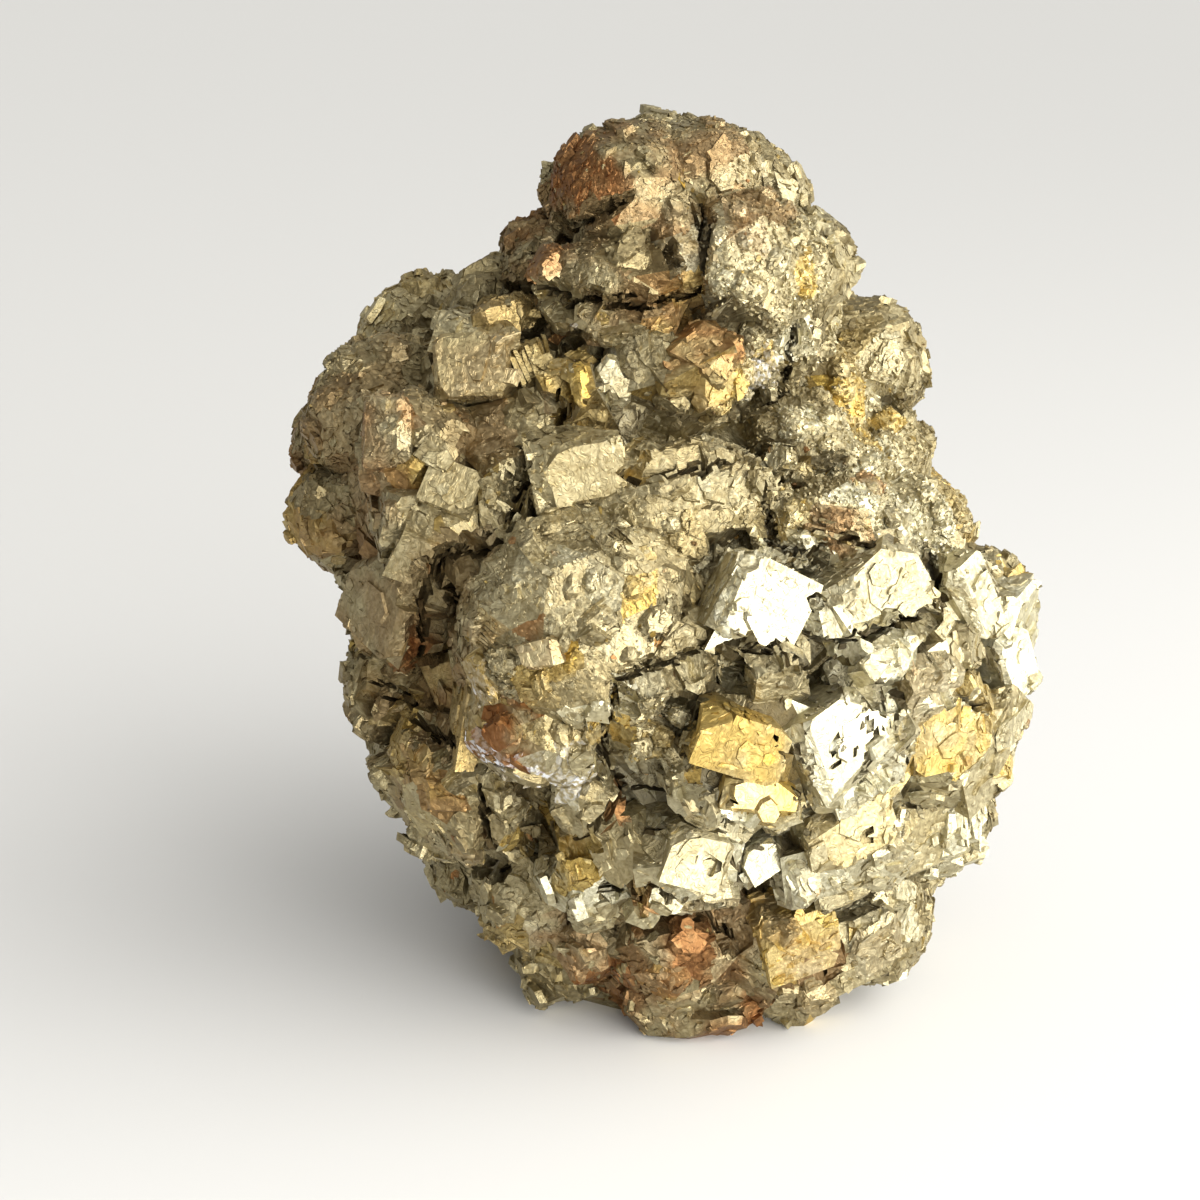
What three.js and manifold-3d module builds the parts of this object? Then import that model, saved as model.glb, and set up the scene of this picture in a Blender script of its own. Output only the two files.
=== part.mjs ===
// A hand specimen of marcasite: one brassy nodule of crystals grown together, the size of a small egg.
// Millimetres, +Z up. Its front faces -Y, and it stands on its flat underside at Z = 0,
// with the origin in the middle of its box. It is one solid: a core, round lobes that grew out of it,
// and single blocky crystals that stand on the lobes.

import * as THREE from 'three';
import { mergeVertices } from 'three/addons/utils/BufferGeometryUtils.js';
import Module from 'manifold-3d';

const wasm = await Module();
wasm.setup();

// The nodule's size over its crystals.
const width = 51.5;
const depth = 45;
const height = 60;

// How rough a lobe's skin is, and how square its section, from 2 for round up to a cube.
const roughness = 0.1;
const squareness = 2.5;
// A lobe's centre lies this share of its size under the core's skin.
const sunk = 0.3;
// Lobes up to each size get this many cuts of an icosahedron's edges.
const fineness = [
  { upTo: 3.6, cuts: 0 },
  { upTo: 5.4, cuts: 1 },
  { upTo: 7, cuts: 2 },
  { upTo: 99, cuts: 3 },
];
const coreCuts = 2;

// The core: a belly, two shoulders, a right flank, a crown and a foot, as ellipsoids. Centres and
// half sizes are shares of the width, the depth and the height.
const core = [
  { at: [0.03, 0.01, 0.41], half: [0.39, 0.39, 0.31] },
  { at: [-0.12, 0.04, 0.59], half: [0.3, 0.32, 0.2] },
  { at: [0.18, 0.12, 0.63], half: [0.12, 0.16, 0.14] },
  { at: [0.1, 0.02, 0.34], half: [0.33, 0.36, 0.25] },
  { at: [0.02, 0, 0.8], half: [0.165, 0.17, 0.16] },
  { at: [0.055, 0, 0.13], half: [0.28, 0.27, 0.21] },
];

// Lobes, from the crown down. around is in degrees from the front, positive towards +X, up is a height,
// and size is a half size: a number, or [across, tall, out]. lift moves a lobe outwards.
const crownLobes = [
  { around: -25, up: 55.5, size: 4.6, lift: 0.8 },
  { around: 40, up: 56.5, size: 3.8, lift: 0.6 },
  { around: -70, up: 55, size: 3.4, lift: 0.6 },
  { around: -82, up: 50.5, size: 3.6, lift: 0.6 },
  { around: -115, up: 55, size: 3.6, lift: 0.4 },
  { around: -24, up: 49.5, size: [5.2, 4.2, 4.8] },
  { around: 40, up: 51, size: [4.8, 5.2, 4.6] },
  { around: 8, up: 54, size: 3.4 },
  { around: 84, up: 50.5, size: 4 },
  { around: 115, up: 54.5, size: 4.2 },
  { around: 170, up: 55, size: 4.6, lift: 0.6 },
  { around: 170, up: 49, size: 4.6 },
  { around: -145, up: 50, size: 4.8 },
  { around: 130, up: 49, size: 4.2 },
  { around: -172, up: 46, size: 5 },
  { around: 100, up: 46, size: 3.8 },
  { around: 140, up: 45.5, size: 4.6 },
  { around: -100, up: 47, size: 4 },
];

const shoulderLobes = [
  { around: -86, up: 41.5, size: 5.2, lift: -1 },
  { around: -62, up: 45.5, size: [4, 3, 3.2], lift: 0.4 },
  { around: -60, up: 40, size: [4, 4, 3.6] },
  { around: -52, up: 35, size: [4.4, 4, 4] },
  { around: -112, up: 44, size: 4.4, lift: 0.4 },
  { around: -135, up: 46.5, size: 4.2, lift: 1 },
  { around: -100, up: 37.5, size: 4 },
  { around: -88, up: 33, size: 3.8 },
  { around: -95, up: 28, size: 3.6 },
  { around: 8, up: 43.5, size: [5.4, 5.2, 5.2] },
  { around: -28, up: 44, size: [3.4, 3.4, 3.4] },
  { around: -38, up: 38, size: 3.2 },
  { around: -2, up: 37.5, size: [5.4, 4.4, 4.4] },
  { around: 19, up: 38, size: [3.8, 3.6, 3.6] },
  { around: 60, up: 45, size: [3, 4, 3] },
  { around: 116, up: 42.5, size: 4.4, lift: 0.6 },
  { around: 104, up: 37, size: 3.8, lift: -0.6 },
  { around: 54, up: 40.5, size: [3.8, 3.8, 3.6] },
  { around: 45, up: 35.5, size: [4.8, 3.8, 4.2] },
  { around: 74, up: 35, size: 3, lift: -0.6 },
  { around: 31, up: 35.5, size: 3 },
  { around: 150, up: 44, size: 5, lift: 1 },
  { around: -168, up: 41.5, size: 4.8 },
  { around: 138, up: 37.5, size: 5 },
  { around: 178, up: 36.5, size: 5.2 },
  { around: -126, up: 40.5, size: 5 },
  { around: -148, up: 41, size: 4.6 },
];

const bellyLobes = [
  { around: -20, up: 31, size: [8, 7.6, 6] },
  { around: -26, up: 24, size: [5.6, 4.6, 5] },
  { around: -64, up: 29.5, size: [4.6, 5, 4] },
  { around: -70, up: 23, size: 4 },
  { around: -15, up: 19, size: [2.6, 3.4, 2.8], lift: 0.6 },
  { around: -4, up: 24.5, size: [3, 2.8, 3] },
  { around: 7, up: 27, size: 2.4 },
  { around: 18, up: 31, size: [3.8, 3.4, 3.6] },
  { around: 40, up: 30.5, size: [4.8, 4, 4] },
  { around: 70, up: 29.5, size: 3.6 },
  { around: 90, up: 26.5, size: 4.2, lift: 0.6 },
  { around: 94, up: 20, size: 4 },
  { around: 54, up: 26.5, size: [4.6, 3.8, 4] },
  { around: 63, up: 20.5, size: [4.6, 4.6, 4.4] },
  { around: 20, up: 22.5, size: [5.6, 5.4, 5.4] },
  { around: 39, up: 22, size: [5, 5, 4.8] },
  { around: 116, up: 30, size: 5 },
  { around: 142, up: 26, size: 6 },
  { around: 166, up: 32, size: 6.4 },
  { around: -168, up: 24, size: 5.4 },
  { around: -145, up: 35, size: 6 },
  { around: -138, up: 26, size: 5.4 },
  { around: -114, up: 32, size: 4.6 },
  { around: -108, up: 24, size: 4 },
  { around: 116, up: 20.5, size: 4.8 },
  { around: 172, up: 19, size: 4.8 },
  { around: -178, up: 28, size: 5 },
  { around: -158, up: 18.5, size: 5 },
  { around: 140, up: 18, size: 5.2 },
  { around: -126, up: 19.5, size: 5 },
  { around: 122, up: 25, size: 4.6 },
];

const footLobes = [
  { around: -50, up: 17.5, size: [5.2, 5.6, 4.8] },
  { around: -80, up: 15.5, size: [4, 4.6, 3.8] },
  { around: 40, up: 14.5, size: [4.8, 4.2, 4.4] },
  { around: 8, up: 15, size: [5, 4.4, 4.8] },
  { around: -16, up: 12.5, size: [4.8, 4.6, 4.8] },
  { around: 22, up: 14.5, size: 3 },
  { around: 74, up: 13, size: 4.8 },
  { around: -44, up: 9.5, size: 4.4, lift: 0.6 },
  { around: -22, up: 6.5, size: 3.6 },
  { around: 6, up: 7, size: 4.4 },
  { around: 36, up: 7.5, size: 4.6 },
  { around: 66, up: 6, size: 4.8 },
  { around: 12, up: 2, size: [5, 2.6, 3.6] },
  { around: -42, up: 3, size: 3.4 },
  { around: 45, up: 2, size: 3.4 },
  { around: 96, up: 6, size: 4.6 },
  { around: 124, up: 10, size: 5.2 },
  { around: 152, up: 12.5, size: 5.4 },
  { around: 178, up: 9, size: 5 },
  { around: -150, up: 13, size: 5.2 },
  { around: -118, up: 14, size: 4.6 },
  { around: -92, up: 8, size: 4.4, lift: 0.8 },
  { around: -122, up: 5, size: 4 },
  { around: 140, up: 4, size: 4 },
  { around: -170, up: 4, size: 3.8 },
];

// Single crystals: blocks that stand on the lobes. size is [across, tall, thick] and lift is how far the
// block's face stands out of the core. turn rolls it about the outward direction, lean tips its face up
// and swing turns its face to +X, in degrees.
const blocks = [
  { around: -23, up: 39, size: [5.8, 4.8, 6], lift: 2.2, turn: 8, lean: 14, swing: 0 },
  { around: -60, up: 29.5, size: [6.4, 5.6, 6], lift: 3, turn: -14, lean: 4, swing: 6 },
  { around: 15, up: 22, size: [5.6, 5, 6], lift: 4.3, turn: -10, lean: -4, swing: -8 },
  { around: 35, up: 22.5, size: [5.2, 5, 6], lift: 3.4, turn: 24, lean: 8, swing: 6 },
  { around: 38, up: 15.5, size: [7.4, 4.6, 6], lift: 3, turn: 14, lean: -2, swing: -4 },
  { around: 4, up: 15.5, size: [4.8, 4.6, 6], lift: 3.8, turn: 6, lean: -4, swing: 2 },
  { around: 19, up: 31, size: [5.4, 5.4, 6], lift: 3, turn: -28, lean: 10, swing: 8 },
  { around: 42, up: 30.5, size: [6.6, 6, 6], lift: 3, turn: 30, lean: 2, swing: 6 },
  { around: 82, up: 26.5, size: [5.4, 6, 6], lift: 2.8, turn: 10, lean: 6, swing: -20 },
  { around: 66, up: 20, size: [6, 5, 6], lift: 2.8, turn: -8, lean: -6, swing: -16 },
  { around: 12, up: 45.5, size: [5, 5, 6], lift: 3.4, turn: 24, lean: 24, swing: 16 },
  { around: -64, up: 45, size: [5, 3.2, 5], lift: 2.6, turn: 12, lean: 14, swing: 16 },
  { around: -54, up: 17, size: [6.4, 7.6, 6], lift: 2.8, turn: 14, lean: 0, swing: 4 },
  { around: 48, up: 6, size: [6.4, 5.2, 6], lift: 2.6, turn: 12, lean: -6, swing: 0 },
];

// Seeded numbers from 0 to 1, the same each time.
function seeded(seed) {
  let state = seed;
  return () => {
    state = (state + 0x6d2b79f5) | 0;
    let mixed = Math.imul(state ^ (state >>> 15), 1 | state);
    mixed = (mixed + Math.imul(mixed ^ (mixed >>> 7), 61 | mixed)) ^ mixed;
    return ((mixed ^ (mixed >>> 14)) >>> 0) / 4294967296;
  };
}

// A geometry of positions only, with its shared vertices merged, as a solid needs.
function merged(geometry) {
  geometry.deleteAttribute('normal');
  geometry.deleteAttribute('uv');
  return mergeVertices(geometry, 1e-4);
}

function solidOf(geometry) {
  const vertProperties = new Float32Array(geometry.getAttribute('position').array);
  const triVerts = new Uint32Array(geometry.getIndex().array);
  return new wasm.Manifold(new wasm.Mesh({ numProp: 3, vertProperties, triVerts }));
}

function geometryOf(solid) {
  const mesh = solid.getMesh();
  const geometry = new THREE.BufferGeometry();
  geometry.setAttribute('position', new THREE.BufferAttribute(mesh.vertProperties, 3));
  geometry.setIndex(new THREE.BufferAttribute(mesh.triVerts, 1));
  return geometry;
}

// A rough, slightly square ball of half size 1.
function roughBall(size, random) {
  const cuts = fineness.find(({ upTo }) => size <= upTo).cuts;
  const ball = merged(new THREE.IcosahedronGeometry(1, cuts));
  const roll = [random() - 0.5, random() - 0.5, random() - 0.5, random() - 0.5];
  const turn = new THREE.Quaternion(...roll).normalize();
  const back = turn.clone().invert();
  const positions = ball.getAttribute('position');
  const point = new THREE.Vector3();
  for (let index = 0; index < positions.count; index += 1) {
    point.fromBufferAttribute(positions, index).applyQuaternion(turn);
    const powers = [point.x, point.y, point.z].map((part) => Math.abs(part) ** squareness);
    const square = (powers[0] + powers[1] + powers[2]) ** (-1 / squareness);
    point.multiplyScalar(square * (1 + roughness * (random() - 0.5)));
    point.applyQuaternion(back);
    positions.setXYZ(index, point.x, point.y, point.z);
  }
  return ball;
}

const coreShapes = core.map(({ at, half }) => ({
  centre: new THREE.Vector3(at[0] * width, at[1] * depth, at[2] * height),
  halves: new THREE.Vector3(half[0] * width, half[1] * depth, half[2] * height),
}));

// Where the core's skin lies at a height, in a direction around it, and which way is out there.
function skinAt(around, up) {
  const angle = THREE.MathUtils.degToRad(around);
  const ray = new THREE.Vector3(Math.sin(angle), -Math.cos(angle), 0);
  const start = new THREE.Vector3(0, 0, up);
  const skin = { point: start.clone(), out: new THREE.Vector3(0, 0, 1), reach: -Infinity };
  for (const { centre, halves } of coreShapes) {
    const from = start.clone().sub(centre).divide(halves);
    const along = ray.clone().divide(halves);
    const span = along.lengthSq();
    const toward = from.dot(along);
    const inside = toward ** 2 - span * (from.lengthSq() - 1);
    const reach = inside < 0 ? -Infinity : (Math.sqrt(inside) - toward) / span;
    if (reach > skin.reach) {
      skin.reach = reach;
      skin.point = start.clone().addScaledVector(ray, reach);
      skin.out = skin.point.clone().sub(centre).divide(halves).divide(halves).normalize();
    }
  }
  return skin;
}

// A place on the core: a matrix whose axes are across, tall and out.
function placeAt({ around, up, lift = 0, turn = 0 }, depthUnderSkin) {
  const { point, out } = skinAt(around, up);
  const across = new THREE.Vector3(0, 0, 1).cross(out).normalize();
  const tall = out.clone().cross(across);
  const place = new THREE.Matrix4().makeBasis(across, tall, out);
  place.setPosition(point.addScaledVector(out, lift - depthUnderSkin));
  return place.multiply(new THREE.Matrix4().makeRotationZ(THREE.MathUtils.degToRad(turn)));
}

function lobeSolid(lobe, random) {
  const halves = Array.isArray(lobe.size) ? lobe.size : [lobe.size, lobe.size, lobe.size];
  const ball = roughBall(Math.max(...halves), random);
  ball.scale(...halves);
  ball.applyMatrix4(placeAt(lobe, sunk * halves[2]));
  return solidOf(ball);
}

function blockSolid(block) {
  const box = merged(new THREE.BoxGeometry(...block.size));
  box.rotateX(THREE.MathUtils.degToRad(block.lean ?? 0));
  box.rotateY(THREE.MathUtils.degToRad(block.swing ?? 0));
  box.applyMatrix4(placeAt(block, block.size[2] / 2));
  return solidOf(box);
}

function coreSolid({ centre, halves }) {
  const ball = merged(new THREE.IcosahedronGeometry(1, coreCuts));
  ball.scale(halves.x, halves.y, halves.z);
  ball.translate(centre.x, centre.y, centre.z);
  return solidOf(ball);
}

function noduleGeometry() {
  const random = seeded(11);
  const lobes = [...crownLobes, ...shoulderLobes, ...bellyLobes, ...footLobes];
  const pieces = [
    ...coreShapes.map(coreSolid),
    ...lobes.map((lobe) => lobeSolid(lobe, random)),
    ...blocks.map(blockSolid),
  ];
  const grown = pieces.reduce((whole, piece) => whole.add(piece));
  const room = merged(new THREE.BoxGeometry(4 * width, 4 * depth, 2 * height));
  room.translate(0, 0, height);
  const geometry = geometryOf(grown.intersect(solidOf(room)));
  geometry.computeBoundingBox();
  const { min, max } = geometry.boundingBox;
  geometry.translate(-(min.x + max.x) / 2, -(min.y + max.y) / 2, -min.z);
  geometry.scale(width / (max.x - min.x), depth / (max.y - min.y), height / (max.z - min.z));
  geometry.computeVertexNormals();
  return geometry;
}

const marcasite = new THREE.MeshStandardMaterial({
  color: 0x8f8260,
  metalness: 0.9,
  roughness: 0.38,
  flatShading: true,
});

const nodule = new THREE.Mesh(noduleGeometry(), marcasite);
nodule.name = 'nodule';

const specimen = new THREE.Group();
specimen.add(nodule);

export default specimen;
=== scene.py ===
import itertools
import math

import bmesh
import bpy
import numpy as np
from mathutils import Euler, Matrix, Vector
from mathutils.bvhtree import BVHTree
from mathutils.kdtree import KDTree


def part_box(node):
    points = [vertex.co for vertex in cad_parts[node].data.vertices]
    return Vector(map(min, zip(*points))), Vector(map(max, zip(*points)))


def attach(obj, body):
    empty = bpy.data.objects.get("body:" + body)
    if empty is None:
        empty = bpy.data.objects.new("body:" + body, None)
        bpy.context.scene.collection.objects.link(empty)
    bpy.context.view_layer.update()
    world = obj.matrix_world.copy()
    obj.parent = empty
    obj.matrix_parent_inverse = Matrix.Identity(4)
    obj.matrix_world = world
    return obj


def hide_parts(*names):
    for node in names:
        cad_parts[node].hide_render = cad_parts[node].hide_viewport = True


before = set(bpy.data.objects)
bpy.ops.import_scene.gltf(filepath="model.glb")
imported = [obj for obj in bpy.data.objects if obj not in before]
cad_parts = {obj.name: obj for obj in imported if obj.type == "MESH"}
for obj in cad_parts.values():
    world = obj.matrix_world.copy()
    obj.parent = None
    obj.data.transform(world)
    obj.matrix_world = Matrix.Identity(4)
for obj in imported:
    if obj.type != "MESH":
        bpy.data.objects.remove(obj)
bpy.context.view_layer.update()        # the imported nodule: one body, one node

# The lobes. The nodule is one solid of marcasite that grew outwards as round lobes. Its form is the
# CAD solid's, drawn in by the thickness of the crystal crust that grows over it in the next sections,
# so that the crust's tips end where the solid's do.
MM = 0.001
crust = 0.45 * MM
low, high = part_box("nodule")
size = high - low


def place(across, back, up):
    """A point by percent of the nodule's width, depth and height, from the left, front and bottom."""
    return Vector((low.x + across / 100 * size.x, low.y + back / 100 * size.y, low.z + up / 100 * size.z))


def mesh_of(bm, name):
    mesh = bpy.data.meshes.new(name)
    bm.to_mesh(mesh)
    bm.free()
    return mesh


def add_object(name, data):
    thing = bpy.data.objects.new(name, data)
    bpy.context.scene.collection.objects.link(thing)
    return thing


def finish_modifiers(thing):
    """Puts the object's modifiers into its mesh. The old mesh is let go."""
    graph = bpy.context.evaluated_depsgraph_get()
    mesh = bpy.data.meshes.new_from_object(thing.evaluated_get(graph))
    old = thing.data
    thing.modifiers.clear()
    thing.data = mesh
    bpy.data.meshes.remove(old)


def read(collection, field, width=3, kind=np.float32):
    values = np.empty(len(collection) * width, kind)
    collection.foreach_get(field, values)
    values = values.astype(float) if kind is np.float32 else values
    return values.reshape(-1, width) if width > 1 else values


def faces_of(thing):
    """A tree of the object's faces, to find the nearest or the one that a ray meets."""
    return BVHTree.FromObject(thing, bpy.context.evaluated_depsgraph_get())


def triangles(mesh):
    """The corners of each triangle of a mesh, and the face that it is part of."""
    mesh.calc_loop_triangles()
    return (read(mesh.loop_triangles, "vertices", 3, np.int32),
            read(mesh.loop_triangles, "polygon_index", 1, np.int32))


body_bm = bmesh.new()
body_bm.from_mesh(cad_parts["nodule"].data)
bmesh.ops.remove_doubles(body_bm, verts=body_bm.verts, dist=1e-6)
drawn_in = Matrix.Diagonal((1 - 2 * crust / size.x, 1 - 2 * crust / size.y, 1 - crust / size.z, 1))
bmesh.ops.transform(body_bm, matrix=drawn_in, verts=body_bm.verts)
nodule = add_object("nodule_crust", mesh_of(body_bm, "nodule_crust"))

# The skin: the same lobes, rounded. Nothing of it shows. It is the ground that the crystals stand on
# and face away from, and it tells how deep in a crevice each of them lies.
skin_cell = 0.45 * MM
skin = add_object("skin", nodule.data.copy())
remesh = skin.modifiers.new("even", "REMESH")
remesh.mode = "VOXEL"
remesh.voxel_size = skin_cell
soften = skin.modifiers.new("soften", "SMOOTH")
soften.factor = 0.5
soften.iterations = 4
finish_modifiers(skin)
skin_tree = faces_of(skin)


def half_sphere(count):
    """Directions spread over the half sphere about +Z."""
    turn = math.pi * (3 - math.sqrt(5))
    heights = [(number + 0.5) / count for number in range(count)]
    return [Vector((math.sqrt(1 - up * up) * math.cos(turn * number),
                    math.sqrt(1 - up * up) * math.sin(turn * number), up))
            for number, up in enumerate(heights)]


def openness(points, outs, tree, start, reach, ways=half_sphere(9)):
    """From 0, deep in a crevice, to 1, in the open, as far as one sees from just above each point."""
    free = np.zeros(len(points))
    for index, (point, out) in enumerate(zip(points, outs)):
        out = Vector(out)
        turn = out.to_track_quat("Z", "Y")
        eye = Vector(point) + out * start
        for way in ways:
            distance = tree.ray_cast(eye, turn @ way, reach)[3]
            free[index] += 1 if distance is None else distance / reach
    return free / len(ways)


def lobe_openness(points, outs):
    return openness(points, outs, skin_tree, 0.7 * MM, 5 * MM)


# The crevices between the lobes run deeper than the crust, so the body is drawn in along them, all
# but its foot.
deepest = 2.2 * MM
foot = 3 * MM


def shut(free):
    """From 0, in the open, to 1, where the lobes close in."""
    return np.clip((0.88 - free) / 0.4, 0, 1)


body = nodule.data
body_points, body_outs = read(body.vertices, "co"), read(body.vertices, "normal")
inwards = shut(lobe_openness(body_points, body_outs)) * deepest * (body_points[:, 2] > foot)
body_points -= body_outs * inwards[:, None]


def near(points, centre, inner, outer):
    """1 within the inner distance of a place, in millimetres, fading to 0 at the outer one."""
    distance = np.linalg.norm(np.asarray(points) - np.asarray(centre), axis=-1) / MM
    share = np.clip((outer - distance) / (outer - inner), 0, 1)
    return share * share * (3 - 2 * share)


# The foremost lobe ends in two crystals with a crack between them, so it is drawn back under them.
foremost = place(58.5, 0, 38)
drawn_back = 1.4 * MM
body_points[:, 1] += drawn_back * near(body_points, foremost, 5, 6.5)
body.vertices.foreach_set("co", body_points.astype(np.float32).ravel())
body.update()

# Where the growth and its colours change. Each spot is a place, then how many millimetres around it
# the change is full, and where it has faded out.


def spots(points, rows):
    """How far each point lies within any of the spots, from 0 to 1."""
    return np.max([near(points, place(*at), inner, outer) for at, inner, outer in rows], axis=0)


druse_spots = [
    ((64, 31, 85), 4, 6), ((61, 33, 75), 3, 5), ((73, 49, 68), 4, 6), ((69, 22, 64), 3.5, 5.5),
    ((80, 36, 60), 4, 6), ((78, 45, 64), 4, 6), ((64, 18, 60), 2, 4), ((66, 31, 71), 3.5, 5.5),
    ((40, 85, 72), 5, 9), ((75, 85, 30), 5, 9)]
grain_spots = [
    ((48, 6, 42), 2, 3.5), ((47, 6, 38), 2, 3.5), ((32, 18, 66), 1.5, 3)]
fine_spots = [
    ((38, 5, 52), 5, 9), ((45, 10, 58), 3, 6), ((17, 25, 70), 3, 5), ((50, 34, 96), 5, 9),
    ((43, 27, 86), 3, 6), ((15, 60, 65), 3, 8), ((85, 75, 55), 4, 9)]
knob_spots = [
    ((47, 36, 95), 6, 9), ((62, 34, 92), 4, 7), ((36, 42, 87), 4, 7), ((43, 27, 86), 2, 4),
    ((12, 50, 66), 4, 8), ((90, 60, 60), 4, 8)]
block_spots = [
    ((75, 12, 40), 8, 13), ((92, 35, 42), 6, 11), ((62, 8, 26), 6, 10), ((20, 25, 38), 6, 9),
    ((22, 28, 60), 4, 8), ((30, 88, 35), 6, 12), ((10, 60, 30), 5, 9)]
gold_spots = [
    ((62, 5, 35), 3, 6), ((91, 25, 33), 3, 7), ((67, 16, 15), 3, 5), ((56, 26, 72), 2, 3.5),
    ((35, 28, 73), 2, 4), ((52, 14, 64), 2, 4), ((35, 3, 46), 1.5, 3.5), ((4, 44, 56), 2, 6),
    ((73, 49, 68), 2, 5), ((20, 20, 33), 3, 6), ((25, 80, 60), 6, 12), ((60, 90, 40), 5, 9)]
rust_spots = [
    ((40, 35, 96), 3, 7), ((33, 41, 88), 3, 6), ((47, 16, 13), 3, 5), ((52, 19, 4), 5, 8),
    ((54, 27, 79), 1, 3), ((42, 8, 33), 1, 3), ((30, 6, 41), 1, 2.5), ((60, 95, 20), 5, 12)]
brown_spots = [
    ((17, 25, 70), 4, 8), ((43, 27, 86), 3, 6), ((5, 42, 62), 7, 12), ((14, 24, 48), 7, 12),
    ((47, 34, 98), 5, 9), ((32, 42, 87), 3, 6), ((55, 18, 6), 6, 10), ((61, 34, 96), 4, 7),
    ((78, 20, 44), 1, 4), ((20, 20, 30), 3, 7)]
silver_spots = [
    ((64, 31, 84), 5, 8), ((61, 33, 75), 3, 6), ((80, 40, 62), 4, 8)]
# Painted light: the lower right front, where the lamps fall hardest, is made paler.
painted_light_spots = [
    ((75, 12, 34), 9, 15), ((80, 20, 45), 9, 14), ((55, 10, 20), 8, 13), ((90, 30, 30), 8, 13)]
dust_spots = [
    ((29, 7, 38), 1.1, 2.2), ((33, 6.5, 35.5), 1.1, 2), ((37, 8, 34.5), 1.1, 2), ((25, 10, 39), 0.8, 1.8),
    ((23, 13, 42), 0.4, 1.4), ((61, 33, 74), 0.6, 2.4), ((37, 28, 78), 0.6, 2), ((26, 10, 44), 0.4, 1.5)]


# Every crystal belongs to a family that grew in one direction, so its neighbours' faces are parallel
# and step up beside each other. A family has a centre, its three directions, and its own finish.
# First come the largest families, whose faces lie bare: each is a place, how far the face is turned
# to the right and tilted up, its spin, width and height, and how pale, gilt, rusty and bare it is.
large = [
    ((14.4, 24.9, 50.2), -50, 11, -15, 6.6, 5.4, 0.35, 0, 0.3, 0.9),
    ((75.6, 13, 53.8), 34, 14, 27, 6.6, 5.6, 0.75, 0, 0, 0.5),
    ((72.4, 10.4, 28.8), 18, 4, 20, 6, 3.8, 0.75, 0.35, 0, 0.9),
    ((96, 38.9, 43.9), 59, -4, 12, 5.4, 5.6, 0.95, 0, 0, 0.7),
    ((61, 6.2, 54.6), 15, 9, -29, 5.5, 5.2, 0.9, 0, 0, 0.6),
    ((58.4, 1, 40.8), 4, 2, -19, 5.7, 3.6, 0.5, 1, 0, 0.9),
    ((60.6, 0.6, 35.2), 11, 9, -13, 4.6, 2.2, 0.8, 0.9, 0.05, 0.9),
    ((70.6, 6, 39.8), 26, 13, 25, 5.8, 5.4, 1, 0, 0, 0.9),
    ((67.2, 16.5, 13.5), 18, -6, 12, 5.4, 4.6, 0.7, 1, 0.25, 0.35),
    ((53.6, 6.2, 27), 9, 5, -18, 4, 3.7, 0.9, 0.15, 0, 0.9),
    ((19.2, 23, 27.5), -44, -24, 16, 6.2, 6.4, 0.6, 0.35, 0, 0.6),
    ((39.1, 16.6, 66.2), 6, -5, 8, 5.8, 3.7, 0.5, 0.1, 0, 0.9),
    ((54.5, 26.2, 77.5), -2, 44, -30, 4, 3.4, 0.2, 0.35, 0.8, 0.7),
    ((56, 25.8, 73.5), 20, -6, 12, 3, 2.6, 0.5, 0.8, 0.2, 0.8),
    ((26.2, 30, 75.2), -14, 24, 6, 4.8, 4.2, 0.55, 0.2, 0.2, 0.7),
    ((83.6, 18.8, 37), 34, 7, -4, 3.8, 4.8, 0.65, 0.8, 0, 0.9),
    ((69, 9.8, 51.2), -4, 10, 30, 1.9, 4, 1, 0, 0, 1),
    ((35, 3.6, 50.2), -17, 10, 20, 2.4, 1.7, 0.5, 0.1, 0.85, 1),
    ((30, 5.2, 41.2), -27, 4, 40, 1.9, 1.8, 0.1, 0, 1, 1),
    ((41.8, 4.4, 43.5), 2, -20, 10, 1.7, 2.1, 1, 0.1, 0, 1),
    ((44, 11.2, 26.2), -30, -4, 35, 4.2, 4.2, 0.5, 0.1, 0, 0.85),
    ((16, 25, 69), -24, 26, 12, 3.2, 4.4, 0.4, 0, 0.6, 0.2),
    ((24, 20, 64), -4, 30, -20, 3.4, 3, 0.45, 0.1, 0, 0.8),
    ((83, 26.8, 22.5), 30, -6, 5, 4.4, 5, 0.85, 0.15, 0, 0.6),
    ((89, 29, 50.3), 38, 11, 25, 3.4, 5.2, 0.85, 0, 0, 0.8),
    ((95, 34.5, 41), 40, 10, 15, 3, 4.6, 1, 0, 0, 0.8),
    ((61.5, 11, 25.5), 12, 10, 30, 2.6, 2.4, 1, 0, 0, 0.5),
    ((77.5, 23.5, 11), 30, -8, 20, 4.2, 4, 0.6, 0, 0.1, 0.3)]


def framed(out, spin):
    """Directions across, along and out of a face, for each outward direction and spin in radians."""
    level = np.cross([0, 0, 1.0], out)
    level /= np.maximum(np.linalg.norm(level, axis=1), 1e-6)[:, None]
    tall = np.cross(out, level)
    across = level * np.cos(spin)[:, None] + tall * np.sin(spin)[:, None]
    return np.stack([across, np.cross(out, across), out], -1)


def nudged(turns, degrees, rng):
    """The same directions, each turned by a random angle about a random axis."""
    axis = rng.normal(size=(len(turns), 3))
    axis /= np.linalg.norm(axis, axis=1)[:, None]
    angle = np.radians(degrees) * np.sqrt(rng.random(len(turns)))
    skewed = np.zeros((len(turns), 3, 3))
    skewed[:, 0, 1], skewed[:, 0, 2], skewed[:, 1, 2] = -axis[:, 2], axis[:, 1], -axis[:, 0]
    skewed -= skewed.transpose(0, 2, 1)
    bent = np.sin(angle)[:, None, None] * skewed + (1 - np.cos(angle))[:, None, None] * (skewed @ skewed)
    return turns + bent @ turns


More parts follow.
